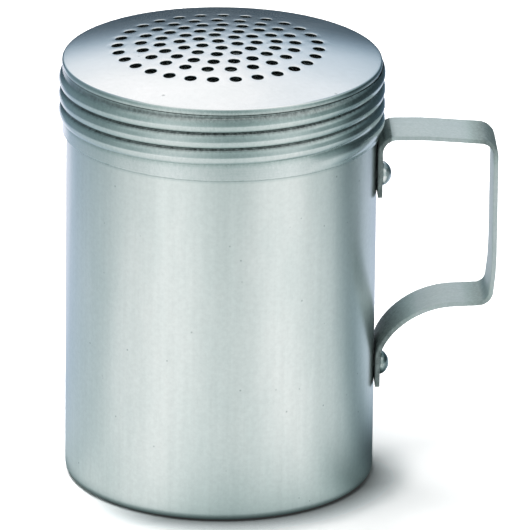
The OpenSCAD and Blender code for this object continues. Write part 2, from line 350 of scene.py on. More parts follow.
def dress(thing: bpy.types.Object, material: bpy.types.Material, slot: str, body: str, *nodes: str) -> None:
    """Gives a finished piece its material, its body and the CAD nodes that it stands for.

    Args:
        thing: The piece.
        material: Its finish.
        slot: The material slot's name; not used.
        body: The CAD body that it rides on.
        *nodes: The CAD nodes that it replaces.
    """
    thing.data.materials.clear()
    thing.data.materials.append(material)
    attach(thing, body)
    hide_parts(*nodes)
    log.info("%s: %d faces, rides on %s", thing.name, len(thing.data.polygons), body)


def fresh_tree(name: str, sockets: dict[str, tuple[str, object]]) -> tuple[bpy.types.NodeTree, bpy.types.Node]:
    """Starts a Geometry Nodes tree with named inputs.

    Args:
        name: The tree's name.
        sockets: Input name to its socket class and default, in metres where it is a length.

    Returns:
        The tree and its group input node.
    """
    tree = bpy.data.node_groups.new(name, "GeometryNodeTree")
    tree.interface.new_socket("Geometry", in_out="INPUT", socket_type="NodeSocketGeometry")
    tree.interface.new_socket("Geometry", in_out="OUTPUT", socket_type="NodeSocketGeometry")
    for label, (kind, value) in sockets.items():
        socket = tree.interface.new_socket(label, in_out="INPUT", socket_type=kind)
        if value is not None:
            socket.default_value = value
    return tree, tree.nodes.new("NodeGroupInput")


def run_tree(thing: bpy.types.Object, tree: bpy.types.NodeTree, values: dict[str, object]) -> bpy.types.Mesh:
    """Runs a Geometry Nodes tree on an object and returns the result as a plain mesh.

    Args:
        thing: The object that carries the tree's starting geometry. It is removed.
        tree: The tree.
        values: Input name to its value, set by the socket's identifier.

    Returns:
        The mesh that the tree made.
    """
    modifier = thing.modifiers.new("shape", "NODES")
    modifier.node_group = tree
    keys = {s.name: s.identifier for s in tree.interface.items_tree if s.in_out == "INPUT"}
    for label, value in values.items():
        modifier[keys[label]] = value
    bpy.context.view_layer.update()
    graph = bpy.context.evaluated_depsgraph_get()
    mesh = bpy.data.meshes.new_from_object(thing.evaluated_get(graph), depsgraph=graph)
    thing.modifiers.remove(modifier)
    bpy.data.objects.remove(thing)
    return mesh


# ---------------------------------------------------------------- rolled thread


@dataclass(frozen=True)
class RolledThread:
    """A right-hand thread rolled into thin sheet: round ridges with narrow grooves between them."""

    start_z: float
    pitch: float
    height: float
    half_width: float
    first_turn: float
    last_turn: float
    fade: float = 48.0
    fullness: float = 0.6

    def rise(self, angle: float, z: float) -> float:
        """Gives how far a ridge stands out.

        Args:
            angle: Angle round the axis in degrees, from 0 to 360.
            z: Height.

        Returns:
            The distance from the plain wall.
        """
        turn = 0
        best = 0.0
        while angle + 360 * turn <= self.last_turn or turn < 4:
            total = angle + 360 * turn
            turn += 1
            for way in (total, total - 360):
                if not self.first_turn <= way <= self.last_turn:
                    continue
                s = (z - self.start_z - self.pitch * way / 360) / self.half_width
                if abs(s) < 1:
                    run_out = min(1.0, (way - self.first_turn) / self.fade, (self.last_turn - way) / self.fade)
                    best = max(best, run_out * self.height * (1 - s * s) ** self.fullness)
        return best

    def groove(self, angle: float, z: float, reach: float = 0.5) -> float:
        """Gives how deep in a groove a point lies.

        Args:
            angle: Angle round the axis in degrees, from 0 to 360.
            z: Height.
            reach: Distance from the groove's bottom at which it ends.

        Returns:
            One at the bottom of a groove between two whole ridges, less where a ridge runs out, and zero
            beyond the reach.
        """
        below = angle + 360 * math.floor((z - self.start_z) / self.pitch - angle / 360)
        away = abs(z - self.start_z - self.pitch * (below / 360 + 0.5))
        whole = []
        for way in (below, below + 360):
            whole.append(max(0.0, min(1.0, (way - self.first_turn) / self.fade, (self.last_turn - way) / self.fade)))
        return (0.3 * max(whole) + 0.7 * min(whole)) * max(0.0, 1 - away / reach)

    def wall(self, radius: float, low: float, high: float, count: int, sign: float = 1.0) -> list[list[Point]]:
        """Gives the rows of a wall whose mesh follows the grooves.

        Args:
            radius: Radius of the plain wall.
            low: Height of its lower edge.
            high: Height of its upper edge.
            count: Points in a row.
            sign: One where the ridges stand out.

        Returns:
            Rows of points. The rows climb by one pitch a turn, so they join one pitch further up.
        """
        steps = self.steps()
        first = -int(math.ceil((self.start_z + self.pitch - low) / self.pitch)) - 1
        last = int(math.ceil((high - self.start_z) / self.pitch)) + 1
        rows = []
        for block in range(first, last):
            for step in steps:
                row = []
                for i in range(count):
                    angle = 360 * i / count
                    z = self.start_z + self.pitch * (angle / 360 + block) + step
                    z = min(max(z, low), high)
                    r = radius + sign * self.rise(angle, z)
                    row.append((r * math.cos(math.radians(angle)), r * math.sin(math.radians(angle)), z))
                rows.append(row)
        return rows

    def steps(self) -> list[float]:
        """Gives the heights of the rows within one pitch, close together at a groove."""
        shape = (-1.0, -0.985, -0.95, -0.89, -0.79, -0.63, -0.4, -0.14, 0.14, 0.4, 0.63, 0.79, 0.89, 0.95, 0.985, 1.0)
        return [s * self.half_width for s in shape]


# ---------------------------------------------------------------- cup


@dataclass
class Cup:
    """The drawn cup: flat base, straight wall, threaded neck and a plain lip."""

    radius: float = 33.2
    height: float = 92.6
    sheet: float = 0.8
    corner: float = 1.8
    neck_in: float = 0.6
    neck_z: float = 79.4
    lip_round: float = 0.3
    hem_z: float = 77.1
    count: int = 288
    thread: RolledThread = RolledThread(79.942, 3.5, 0.55, 1.67, 130, 1020)
    groove: RolledThread = RolledThread(79.942, 3.5, 0.55, 1.32, 130, 1020)

    def arc(self, cx: float, cz: float, r: float, start: float, end: float, steps: int) -> list[tuple[float, float]]:
        """Gives points of an arc in the half plane, between two angles in degrees."""
        turn = [math.radians(start + (end - start) * i / steps) for i in range(steps + 1)]
        return [(cx + r * math.cos(t), cz + r * math.sin(t)) for t in turn]

    def lower(self, depth: float) -> list[tuple[float, float]]:
        """Gives the half profile of base, corner and wall, at a depth inside the sheet."""
        edge = self.radius - self.corner
        line = [(r, depth) for r in (0.02, 4, 8, 12, 16, 20, 24, 28)]
        line += self.arc(edge, self.corner, self.corner - depth, -90, 0, 10)
        top = self.neck_z - (0.4 if depth else 0.0)
        line += [(self.radius - depth, z) for z in (*np.linspace(6, 74, 23), 76.2, 76.6, 77.0, 77.4, 78.0, top)]
        return line

    def build(self) -> bpy.types.Object:
        """Builds the cup's mesh and returns the object."""
        shell = Shell()
        neck = self.radius - self.neck_in
        turn_in = self.neck_z + self.neck_in
        outside = self.lower(0.0) + [(neck, turn_in)]
        shell.grid([ring(r, z, self.count) for r, z in outside])
        lip = self.height - self.lip_round
        steps = len(self.thread.steps())
        shell.grid(self.thread.wall(neck, turn_in, lip, self.count), shift=steps)
        bore = neck - self.sheet
        shell.grid([ring(r, z, self.count) for r, z in (
            (neck, lip), (neck - 0.09, self.height - 0.09), (neck - self.lip_round, self.height),
            (bore + 0.12, self.height), (bore, self.height - 0.12))])
        low = turn_in - 0.4
        shell.grid(self.groove.wall(bore, low, self.height - 0.12, self.count), shift=steps, flip=True)
        inside = self.lower(self.sheet) + [(bore, low)]
        shell.grid([ring(r, z, self.count) for r, z in inside], flip=True)
        shell.add(ring(0.02, 0, self.count), [tuple(range(self.count))[::-1]])
        shell.add(ring(0.02, self.sheet, self.count), [tuple(range(self.count))])
        thing = shell.build("cup_drawn", crease=50.0)
        shade_and_wear(thing.data, self.wear_and_painted_shade)
        return thing

    def wear_and_painted_shade(self, x: float, y: float, z: float) -> float:
        """Gives painted shade: a dark ring at the foot where the cup stands on the table, and a painted shadow on the
        wall just under the lid's hem.
        """
        if math.hypot(x, y) < self.radius - self.corner - 1:
            return 0.0
        # Painted contact shade at the foot and a painted shadow band under the lid's hem.
        foot = max(0.0, 1 - z / 0.9)
        hem = max(0.0, 1 - abs(z - self.hem_z) / 0.7)
        return 0.6 * foot + 0.45 * hem


# ---------------------------------------------------------------- lid


@dataclass
class Perforation:
    """Rings of punched holes, each with the rounded entry that the punch leaves."""

    middle: tuple[float, float] = (-0.9, 0.7)
    hole_r: float = 1.25
    entry: float = 0.25
    entry_depth: float = 0.22
    sheet: float = 0.7
    rings: tuple[tuple[float, int, float], ...] = (
        (0.0, 1, 0.0), (4.4, 6, -22.5), (8.2, 12, -4.0), (12.5, 18, 3.5), (16.5, 21, 3.0), (21.5, 28, -5.0))
    sides: int = 30

    def centres(self) -> list[tuple[float, float]]:
        """Gives the middle of every hole, seen from above."""
        return [
            (self.middle[0] + r * math.cos(math.radians(turn + 360 * k / n)),
             self.middle[1] + r * math.sin(math.radians(turn + 360 * k / n)))
            for r, n, turn in self.rings for k in range(n)]

    def tree(self) -> bpy.types.NodeTree:
        """Builds the node tree: at each point stands a sleeve, swept round a circle from its profile."""
        tree, given = fresh_tree("Punched holes", {
            "Hole Radius": ("NodeSocketFloat", 0.00125),
            "Entry Width": ("NodeSocketFloat", 0.0004),
            "Entry Depth": ("NodeSocketFloat", 0.0003),
            "Sheet": ("NodeSocketFloat", 0.0007),
            "Dish": ("NodeSocketFloat", 0.00006),
            "Sides": ("NodeSocketInt", 30),
            "Finish": ("NodeSocketMaterial", None)})
        value = given.outputs
        start = add(tree, "ShaderNodeCombineXYZ", {0: value["Entry Width"], 1: value["Dish"]}).outputs[0]
        knee = add(tree, "ShaderNodeCombineXYZ", {1: value["Dish"]}).outputs[0]
        end = add(tree, "ShaderNodeCombineXYZ", {1: value["Entry Depth"]}).outputs[0]
        foot = add(tree, "ShaderNodeCombineXYZ", {1: value["Sheet"]}).outputs[0]
        entry = add(tree, "GeometryNodeCurveQuadraticBezier", {
            "Resolution": 6, "Start": start, "Middle": knee, "End": end}).outputs[0]
        wall = add(tree, "GeometryNodeCurvePrimitiveLine", {"Start": end, "End": foot}).outputs[0]
        path = add(tree, "GeometryNodeCurvePrimitiveCircle", {
            "Resolution": value["Sides"], "Radius": value["Hole Radius"]}).outputs[0]
        sleeves = []
        for line in (entry, wall):
            sleeves.append(add(tree, "GeometryNodeCurveToMesh", {"Curve": path, "Profile Curve": line}).outputs[0])
        both = add(tree, "GeometryNodeJoinGeometry")
        for part in sleeves:
            tree.links.new(part, both.inputs[0])
        sleeve = add(tree, "GeometryNodeMergeByDistance", {"Geometry": both.outputs[0], "Distance": 1e-6}).outputs[0]
        axis = add(tree, "GeometryNodeInputNamedAttribute", {"Name": "axis"}, data_type="FLOAT_VECTOR").outputs[0]
        lean = add(tree, "FunctionNodeAlignRotationToVector", {"Vector": axis}, axis="Z").outputs[0]
        placed = add(tree, "GeometryNodeInstanceOnPoints", {
            "Points": value["Geometry"], "Instance": sleeve, "Rotation": lean}).outputs[0]
        real = add(tree, "GeometryNodeRealizeInstances", {0: placed}).outputs[0]
        done = add(tree, "GeometryNodeSetMaterial", {"Geometry": real, "Material": value["Finish"]}).outputs[0]
        add(tree, "NodeGroupOutput", {0: done})
        return tree

    def sleeves(self, height: Callable[[float, float], float], middle_z: float, dish: float,
                finish: bpy.types.Material) -> bpy.types.Mesh:
        """Makes the sleeves of all the holes.

        Args:
            height: Height of the dome's outside over a point.
            middle_z: Height of the middle of the dome's sphere.
            dish: How far the sheet is drawn down at the edge of an entry.
            finish: The lid's material.

        Returns:
            One mesh in metres.
        """
        spots = [(x, y, height(x, y)) for x, y in self.centres()]
        mesh = bpy.data.meshes.new("punch points")
        mesh.from_pydata([tuple(c * MM for c in p) for p in spots], [], [])
        axes = mesh.attributes.new("axis", "FLOAT_VECTOR", "POINT")
        for slot, (x, y, z) in zip(axes.data, spots):
            slot.vector = Vector((x, y, z - middle_z)).normalized()
        thing = bpy.data.objects.new("punch points", mesh)
        bpy.context.scene.collection.objects.link(thing)
        return run_tree(thing, self.tree(), {
            "Hole Radius": self.hole_r * MM, "Entry Width": self.entry * MM,
            "Entry Depth": self.entry_depth * MM, "Sheet": self.sheet * MM, "Dish": dish * MM,
            "Sides": self.sides, "Finish": finish})


@dataclass
class Lid:
    """The screw lid: a shallow perforated dome, a rounded rim, a rolled skirt and a plain hem."""

    skirt_r: float = 34.05
    bore_r: float = 33.35
    sheet: float = 0.7
    hem_z: float = 77.142
    rim_r: float = 34.15
    rim_z: float = 91.742
    rim_foot: float = 0.35
    rim_round: float = 0.6
    edge_z: float = 93.142
    rise: float = 3.6
    dish: float = 0.03
    dish_width: float = 0.3
    count: int = 360
    patch_r: float = 26.0
    thread: RolledThread = RolledThread(79.942, 3.5, 0.75, 1.67, -60, 1140, fullness=0.85)
    groove: RolledThread = RolledThread(79.942, 3.5, 0.75, 1.32, -60, 1052)
    holes: Perforation = field(default_factory=Perforation)

    def __post_init__(self) -> None:
        """Works out the dome's sphere."""
        self.dome_r = (self.rim_r ** 2 + self.rise ** 2) / (2 * self.rise)
        self.dome_z = self.edge_z + self.rise - self.dome_r

    def height(self, x: float, y: float, depth: float = 0.0) -> float:
        """Gives the height of the plain dome over a point, at a depth inside the sheet."""
        return self.dome_z + math.sqrt((self.dome_r - depth) ** 2 - x * x - y * y)

    def dished(self, x: float, y: float) -> float:
        """Gives the height of the dome's outside, drawn down a little round each hole."""
        z = self.height(x, y)
        for cx, cy in self.holes.centres():
            away = math.hypot(x - cx, y - cy) - self.holes.hole_r - self.holes.entry
            if away < 3 * self.dish_width:
                z -= self.dish * math.exp(-(max(away, 0.0) / self.dish_width) ** 2)
        return z

    def patch(self, rims: list[list[Point]], surface: Callable[[float, float], float],
              gap: float) -> tuple[list[Point], list[tuple[int, ...]]]:
        """Fills the dome between the holes and a circle round them.

        Args:
            rims: The edge of each hole, as points of the finished mesh.
            surface: Height over a point.
            gap: Distance between the fill's points.

        Returns:
            Points and triangles that face up.
        """
        outer = ring(self.patch_r, 0, self.count)
        points = [Vector(p[:2]) for p in outer]
        heights: list[float | None] = [None] * len(outer)
        edges = [(i, (i + 1) % self.count) for i in range(self.count)]
        centres = np.array(self.holes.centres())
        edge_r = math.hypot(rims[0][0][0] - centres[0][0], rims[0][0][1] - centres[0][1])
        for rim in rims:
            start = len(points)
            points += [Vector(p[:2]) for p in rim]
            heights += [p[2] for p in rim]
            edges += [(start + i, start + (i + 1) % len(rim)) for i in range(len(rim))]
        extra = []
        for (cx, cy) in centres:
            for k, far in enumerate((0.16, 0.38)):
                for i in range(self.holes.sides):
                    t = TAU * (i + 0.5 * k) / self.holes.sides
                    extra.append((cx + (edge_r + far) * math.cos(t), cy + (edge_r + far) * math.sin(t), far * 0.8))
        for j in range(int(self.patch_r / gap)):
            r = self.patch_r - gap * (j + 1)
            n = max(1, int(TAU * r / gap))
            extra += [(r * math.cos(TAU * (i + 0.5 * (j % 2)) / n), r * math.sin(TAU * (i + 0.5 * (j % 2)) / n), 0.5)
                      for i in range(n)]
        kept = np.zeros((0, 2))
        for x, y, room in extra:
            if np.hypot(centres[:, 0] - x, centres[:, 1] - y).min() < edge_r + room - 1e-6:
                continue
            points.append(Vector((x, y)))
            heights.append(None)
        spots, _, tris, _, _, _ = delaunay_2d_cdt(points, edges, [], 0, 1e-7)
        level = {(round(p.x, 5), round(p.y, 5)): h for p, h in zip(points, heights)}
        placed = []
        for p in spots:
            h = level.get((round(p.x, 5), round(p.y, 5)))
            placed.append((p.x, p.y, surface(p.x, p.y) if h is None else h))
        wanted = []
        for tri in tris:
            mid = sum((Vector(spots[i]) for i in tri), Vector((0.0, 0.0))) / 3
            near = np.hypot(centres[:, 0] - mid.x, centres[:, 1] - mid.y).min()
            if near > edge_r * 0.985:
                wanted.append(tuple(tri))
        return placed, wanted

    def rims(self, sleeves: bpy.types.Mesh, top: bool) -> list[list[Point]]:
        """Gives each sleeve's open edge, in order round its hole, in millimetres."""
        work = bmesh.new()
        work.from_mesh(sleeves)
        found: list[list[Point]] = [[] for _ in self.holes.centres()]
        centres = np.array(self.holes.centres())
        for vert in work.verts:
            if not vert.is_boundary:
                continue
            x, y, z = (c / MM for c in vert.co)
            inner = z < self.height(x, y) - 0.4 * self.sheet
            if inner == top:
                continue
            near = int(np.hypot(centres[:, 0] - x, centres[:, 1] - y).argmin())
            found[near].append((x, y, z))
        work.free()
        return [sorted(rim, key=lambda p, c=centres[i]: math.atan2(p[1] - c[1], p[0] - c[0]))
                for i, rim in enumerate(found)]

    def build(self, finish: bpy.types.Material) -> bpy.types.Object:
        """Builds the lid's mesh and returns the object."""
        sleeves = self.holes.sleeves(self.height, self.dome_z, self.dish, finish)
        shell = Shell()
        shell.add([tuple(c / MM for c in v.co) for v in sleeves.vertices],
                  [tuple(p.vertices) for p in sleeves.polygons])
        for top in (True, False):
            depth = 0.0 if top else self.sheet
            surface = self.dished if top else (lambda x, y: self.height(x, y, self.sheet))
            points, faces = self.patch(self.rims(sleeves, top), surface, 0.9)
            shell.add(points, faces if top else [f[::-1] for f in faces])
            self.collar(shell, depth)
        steps = len(self.thread.steps())
        shell.grid(self.thread.wall(self.skirt_r, self.hem_z + 0.12, self.rim_z, self.count), shift=steps)
        shell.grid([ring(r, z, self.count) for r, z in (
            (self.bore_r + 0.1, self.hem_z), (self.skirt_r - 0.12, self.hem_z),
            (self.skirt_r, self.hem_z + 0.12))])
        shell.grid(self.groove.wall(self.bore_r, self.hem_z + 0.1, self.rim_z + self.rim_foot, self.count),
                   shift=steps, flip=True)
        shell.grid([ring(self.bore_r + 0.1, self.hem_z, self.count), ring(self.bore_r, self.hem_z + 0.1, self.count)],
                   flip=True)
        thing = shell.build("lid_spun", weld_mm=0.012, crease=50.0)
        shade_and_wear(thing.data, self.wear_and_painted_shade)
        return thing

    def wear_and_painted_shade(self, x: float, y: float, z: float) -> float:
        """Gives painted shade and a plain greyer skirt: painted shade in the holes and grooves, under the rim and at
        the hem's edge.
        """
        out = math.hypot(x, y)
        if out < self.patch_r - 0.5:
            # Painted shade in the holes: the sleeve walls near-black, the sheet's underside half as dark.
            deep = self.height(x, y) - z
            return 0.0 if deep < 0.1 else 0.9 if deep < self.sheet - 0.05 else 0.5
        if out < self.skirt_r - 0.3 or z > self.edge_z - 0.1:
            return 0.0
        # Painted shade along the hem's edge.
        if z < self.hem_z + 0.15:
            return 0.5
        angle = math.degrees(math.atan2(y, x)) % 360
        # Painted shade in the grooves and in a band under the rim where its shadow falls, over a skirt made slightly
        # greyer, more so towards the rim.
        deep = self.thread.groove(angle, z, 0.8)
        under = max(0.0, 1 - abs(self.rim_z - 0.5 - z) / 1.5)
        return min(0.9, 0.22 + 0.1 * (z - self.hem_z) / 15 + 0.62 * deep + 0.28 * under)

    def collar(self, shell: Shell, depth: float) -> None:
        """Adds the dome's outer band and the rim, outside or at a depth inside the sheet."""
        if depth:
            top = self.rim_r - self.sheet - 0.25
            line = [(r, self.height(r, 0, depth)) for r in np.linspace(self.patch_r, top, 8)]
            wall = self.rim_r - self.sheet
            line += [(wall - 0.07, self.height(top, 0, depth) - 0.1), (wall, self.height(top, 0, depth) - 0.3),
                     (wall, self.rim_z + self.rim_foot), (self.bore_r, self.rim_z + self.rim_foot)]
            shell.grid([ring(r, z, self.count) for r, z in line])
            return
        cx = self.rim_r - self.rim_round
        cz = self.dome_z + math.sqrt((self.dome_r - self.rim_round) ** 2 - cx * cx)
        touch = math.degrees(math.atan2(cz - self.dome_z, cx))
        line = [(r, self.height(r, 0)) for r in
                np.linspace(self.patch_r, cx / (self.dome_r - self.rim_round) * self.dome_r, 10)]
        for i in range(1, 9):
            t = math.radians(touch * (1 - i / 8))
            line.append((cx + self.rim_round * math.cos(t), cz + self.rim_round * math.sin(t)))
        line.append((self.rim_r, self.rim_z + self.rim_foot))
        for i in range(1, 5):
            t = math.radians(-90 * i / 4)
            line.append((self.rim_r - self.rim_foot * (1 - math.cos(t)),
                         self.rim_z + self.rim_foot * (1 + math.sin(t))))
        line.append((self.skirt_r, self.rim_z))
        shell.grid([ring(r, z, self.count) for r, z in line], flip=True)


# ---------------------------------------------------------------- handle


@dataclass
class StrapHandle:
    """The strip of the handle: bent flat stock with a tab at each end."""

    width: float = 12.7
    sheet: float = 1.0
    edge_round: float = 0.22
    tab_x: float = 33.72
    upper_end_z: float = 63.542
    path: tuple[tuple[float, float], ...] = (
        (9.9, 0), (3.5, -90), (4.6, 0), (40, -4), (-1, 0), (3.4, -86), (-2, 0), (60, -8), (2.8, -79.6),
        (-3, 0), (19, 42), (16, 16), (8, 29.6), (5.9, 0))
    runs: tuple[float, float, float] = (0.0, 0.0, 0.0)

    def centre_line(self) -> list[tuple[float, float, float]]:
        """Gives the strip's centre line as x, z and heading in degrees, from the upper tab's end."""
        x, z, heading = self.tab_x, self.upper_end_z, 90.0
        line = [(x, z, heading)]
        for size, turn in self.path:
            if size < 0:
                size = self.runs[int(-size) - 1]
            if turn == 0:
                pieces = max(1, int(size / 1.5))
                for _ in range(pieces):
                    x += size / pieces * math.cos(math.radians(heading))
                    z += size / pieces * math.sin(math.radians(heading))
                    line.append((x, z, heading))
                continue
            way = 1 if turn > 0 else -1
            steps = max(2, int(abs(turn) / 3))
            cx = x - way * size * math.sin(math.radians(heading))
            cz = z + way * size * math.cos(math.radians(heading))
            for i in range(1, steps + 1):
                h = heading + turn * i / steps
                line.append((cx + way * size * math.sin(math.radians(h)),
                             cz - way * size * math.cos(math.radians(h)), h))
            x, z, heading = line[-1]
        return line

    def tree(self) -> bpy.types.NodeTree:
        """Builds the node tree: a rounded section swept along the centre line."""
        tree, given = fresh_tree("Bent strip", {
            "Width": ("NodeSocketFloat", 0.0127),
            "Thickness": ("NodeSocketFloat", 0.001),
            "Edge Rounding": ("NodeSocketFloat", 0.0002),
            "Finish": ("NodeSocketMaterial", None)})
        value = given.outputs
        path = add(tree, "GeometryNodeMeshToCurve", {"Mesh": value["Geometry"]}).outputs[0]
        box = add(tree, "GeometryNodeCurvePrimitiveQuadrilateral", {
            "Width": value["Thickness"], "Height": value["Width"]}).outputs[0]
        section = add(tree, "GeometryNodeFilletCurve", {
            "Curve": box, "Radius": value["Edge Rounding"], "Count": 4}, mode="POLY").outputs[0]
        strip = add(tree, "GeometryNodeCurveToMesh", {
            "Curve": path, "Profile Curve": section, "Fill Caps": True}).outputs[0]
        real = add(tree, "GeometryNodeRealizeInstances", {0: strip}).outputs[0]
        done = add(tree, "GeometryNodeSetMaterial", {"Geometry": real, "Material": value["Finish"]}).outputs[0]
        add(tree, "NodeGroupOutput", {0: done})
        return tree

    def build(self, finish: bpy.types.Material) -> bpy.types.Object:
        """Builds the strip's mesh, with the direction it was rolled in, and returns the object."""
        line = self.centre_line()
        mesh = bpy.data.meshes.new("strap path")
        mesh.from_pydata([(x * MM, 0, z * MM) for x, z, _ in line], [(i, i + 1) for i in range(len(line) - 1)], [])
        thing = bpy.data.objects.new("strap path", mesh)
        bpy.context.scene.collection.objects.link(thing)
        made = run_tree(thing, self.tree(), {
            "Width": self.width * MM, "Thickness": self.sheet * MM,
            "Edge Rounding": self.edge_round * MM, "Finish": finish})
        strip = finish_mesh("handle_strip", made, 40.0)
        spine = np.array([(x, z) for x, z, _ in line]) * MM
        flow = made.attributes.new("flow", "FLOAT_VECTOR", "POINT")
        for vert, slot in zip(made.vertices, flow.data):
            near = int(np.hypot(spine[:, 0] - vert.co.x, spine[:, 1] - vert.co.z).argmin())
            h = math.radians(line[near][2])
            slot.vector = (math.cos(h), 0.0, math.sin(h))
        shade_and_wear(made, self.wear_and_painted_shade)
        return strip

    def wear_and_painted_shade(self, x: float, y: float, z: float) -> float:
        """Gives painted shade and a greyer edge: painted shade on the tabs beside the cup and in the top and bottom
        bends, and greyer cut edges.
        """
        # Painted shade beside the cup and in the bends; the cut edges are simply made greyer.
        tab = min(1.0, max(0.0, (42.0 - x) / 7.0)) if z < 40 or x < 36 else 0.0
        bend = max(0.0, 1 - math.hypot(x - 56.5, z - (75 if z > 60 else 38)) / 5.0)
        cut = 0.26 if abs(y) > self.width / 2 - 0.3 else 0.0
        return min(0.7, 0.5 * tab + (0.5 if z > 60 else 0.35) * bend + cut)


@dataclass
class RoundHeadRivets:
    """The two rivets: a domed head on the tab, a shank through the wall and a formed tail inside."""

    heights: tuple[float, float] = (66.942, 23.8)
    shank_r: float = 1.6
    head_r: float = 2.6
    head_h: float = 2.2
    head_side: float = 0.6
    head_x: float = 34.24
    tail_r: float = 2.4
    tail_x: float = 32.291
    tail_h: float = 1.2
    sides: int = 48

    def profile(self) -> list[tuple[float, float]]:
        """Gives the half profile as radius and distance from the cup's axis."""
        cap = self.head_h - self.head_side
        ball = (self.head_r ** 2 + cap ** 2) / (2 * cap)
        line = [(0.01, self.tail_x - self.tail_h), (self.tail_r - 0.45, self.tail_x - self.tail_h),
                (self.tail_r - 0.12, self.tail_x - self.tail_h * 0.84), (self.tail_r, self.tail_x - self.tail_h * 0.6),
                (self.tail_r, self.tail_x), (self.shank_r, self.tail_x), (self.shank_r, self.head_x),
                (self.head_r - 0.08, self.head_x), (self.head_r, self.head_x + 0.1),
                (self.head_r, self.head_x + self.head_side * 0.8)]
        full = math.asin(min(1.0, self.head_r / ball))
        for i in range(1, 11):
            t = full * (1 - i / 10)
            line.append((max(0.01, ball * math.sin(t)),
                         self.head_x + self.head_h - ball * (1 - math.cos(t))))
        return line

    def tree(self) -> bpy.types.NodeTree:
        """Builds the node tree: one rivet at each point, each turned a little differently."""
        tree, given = fresh_tree("Set rivets", {
            "Rivet": ("NodeSocketObject", None),
            "Most Turn": ("NodeSocketFloat", 3.1),
            "Seed": ("NodeSocketInt", 7),
            "Finish": ("NodeSocketMaterial", None)})
        value = given.outputs
        rivet = add(tree, "GeometryNodeObjectInfo", {"Object": value["Rivet"]}).outputs["Geometry"]
        turn = add(tree, "FunctionNodeRandomValue", {
            "Max": value["Most Turn"], "Seed": value["Seed"]}, data_type="FLOAT").outputs[1]
        spin = add(tree, "ShaderNodeCombineXYZ", {0: turn}).outputs[0]
        placed = add(tree, "GeometryNodeInstanceOnPoints", {
            "Points": value["Geometry"], "Instance": rivet, "Rotation": spin}).outputs[0]
        real = add(tree, "GeometryNodeRealizeInstances", {0: placed}).outputs[0]
        done = add(tree, "GeometryNodeSetMaterial", {"Geometry": real, "Material": value["Finish"]}).outputs[0]
        add(tree, "NodeGroupOutput", {0: done})
        return tree

    def build(self, finish: bpy.types.Material) -> bpy.types.Object:
        """Builds both rivets as one mesh and returns the object."""
        shell = Shell()
        rows = []
        for r, x in self.profile():
            rows.append([(x, r * math.cos(TAU * i / self.sides), r * math.sin(TAU * i / self.sides))
                         for i in range(self.sides)])
        shell.grid(rows)
        shell.add(rows[0], [tuple(range(self.sides))[::-1]])
        shell.add(rows[-1], [tuple(range(self.sides))])
        model = shell.build("rivet pattern", crease=44.0)
        mesh = bpy.data.meshes.new("rivet points")
        mesh.from_pydata([(0, 0, z * MM) for z in self.heights], [], [])
        points = bpy.data.objects.new("rivet points", mesh)
        bpy.context.scene.collection.objects.link(points)
        made = run_tree(points, self.tree(), {"Rivet": model, "Most Turn": 3.1, "Seed": 7, "Finish": finish})
        bpy.data.objects.remove(model)
        # The lower rivet gets much more of the dark tone than the upper one, as does the lower tab round it.
        shade_and_wear(made, lambda x, y, z: 0.1 if z > 45 else 0.5)
        return finish_mesh("handle_rivets", made, 44.0)


# ---------------------------------------------------------------- studio


@dataclass(frozen=True)
class Softbox:
    """A soft area lamp that hangs flat over the table."""

    name: str
    place: Point
    size: tuple[float, float]
    radiance: float
    mirrored: bool = True

    def make(self) -> None:
        """Builds the lamp. One that isn't mirrored lights the table and shows in no metal."""
        lamp = bpy.data.lights.new(self.name, "AREA")
        lamp.shape = "RECTANGLE"
        lamp.size, lamp.size_y = self.size[0] * MM, self.size[1] * MM
        lamp.energy = self.radiance * math.pi * lamp.size * lamp.size_y
        thing = bpy.data.objects.new(self.name, lamp)
        thing.location = Vector(self.place) * MM
        thing.visible_camera = False
        thing.visible_glossy = self.mirrored
        bpy.context.scene.collection.objects.link(thing)


@dataclass(frozen=True)
class Panel:
    """One upright part of the light tent: where it stands and how strongly each part of it glows.

    The bearing is counted from the camera's side, positive to the right. The table has one strength close
    to the cup, one further out and one at the far end.
    """

    bearing: float
    near: float
    table: float
    far: float
    foot: float
    middle: float
    top: float

    def glow(self, radius: float, height: float) -> float:
        """Gives the strength at a place in millimetres, blended softly out over the table and up the cloth."""
        low, mid, high = 146.0, 265.0, 400.0
        if height < 1:
            shade = min(1.0, max(0.05, (radius - 32.0) / 5.0))
            inner = blend(self.near, self.table, min(1.0, max(0.0, (radius - 40.0) / 35.0)))
            swell = 1.0 + 0.42 * max(0.0, self.table - 0.5) * min(1.0, max(0.0, (radius - 150.0) / 80.0))
            return shade * blend(inner * swell, self.far, min(1.0, max(0.0, (radius - 238.0) / 50.0)))
        if height <= low:
            return self.foot
        if height <= mid:
            return blend(self.foot, self.middle, (height - low) / (mid - low))
        return blend(self.middle, self.top, min(1.0, (height - mid) / (high - mid)))


def blend(a: float, b: float, part: float) -> float:
    """Goes softly from one value to another as the part goes from 0 to 1."""
    return a + (b - a) * part * part * (3 - 2 * part)


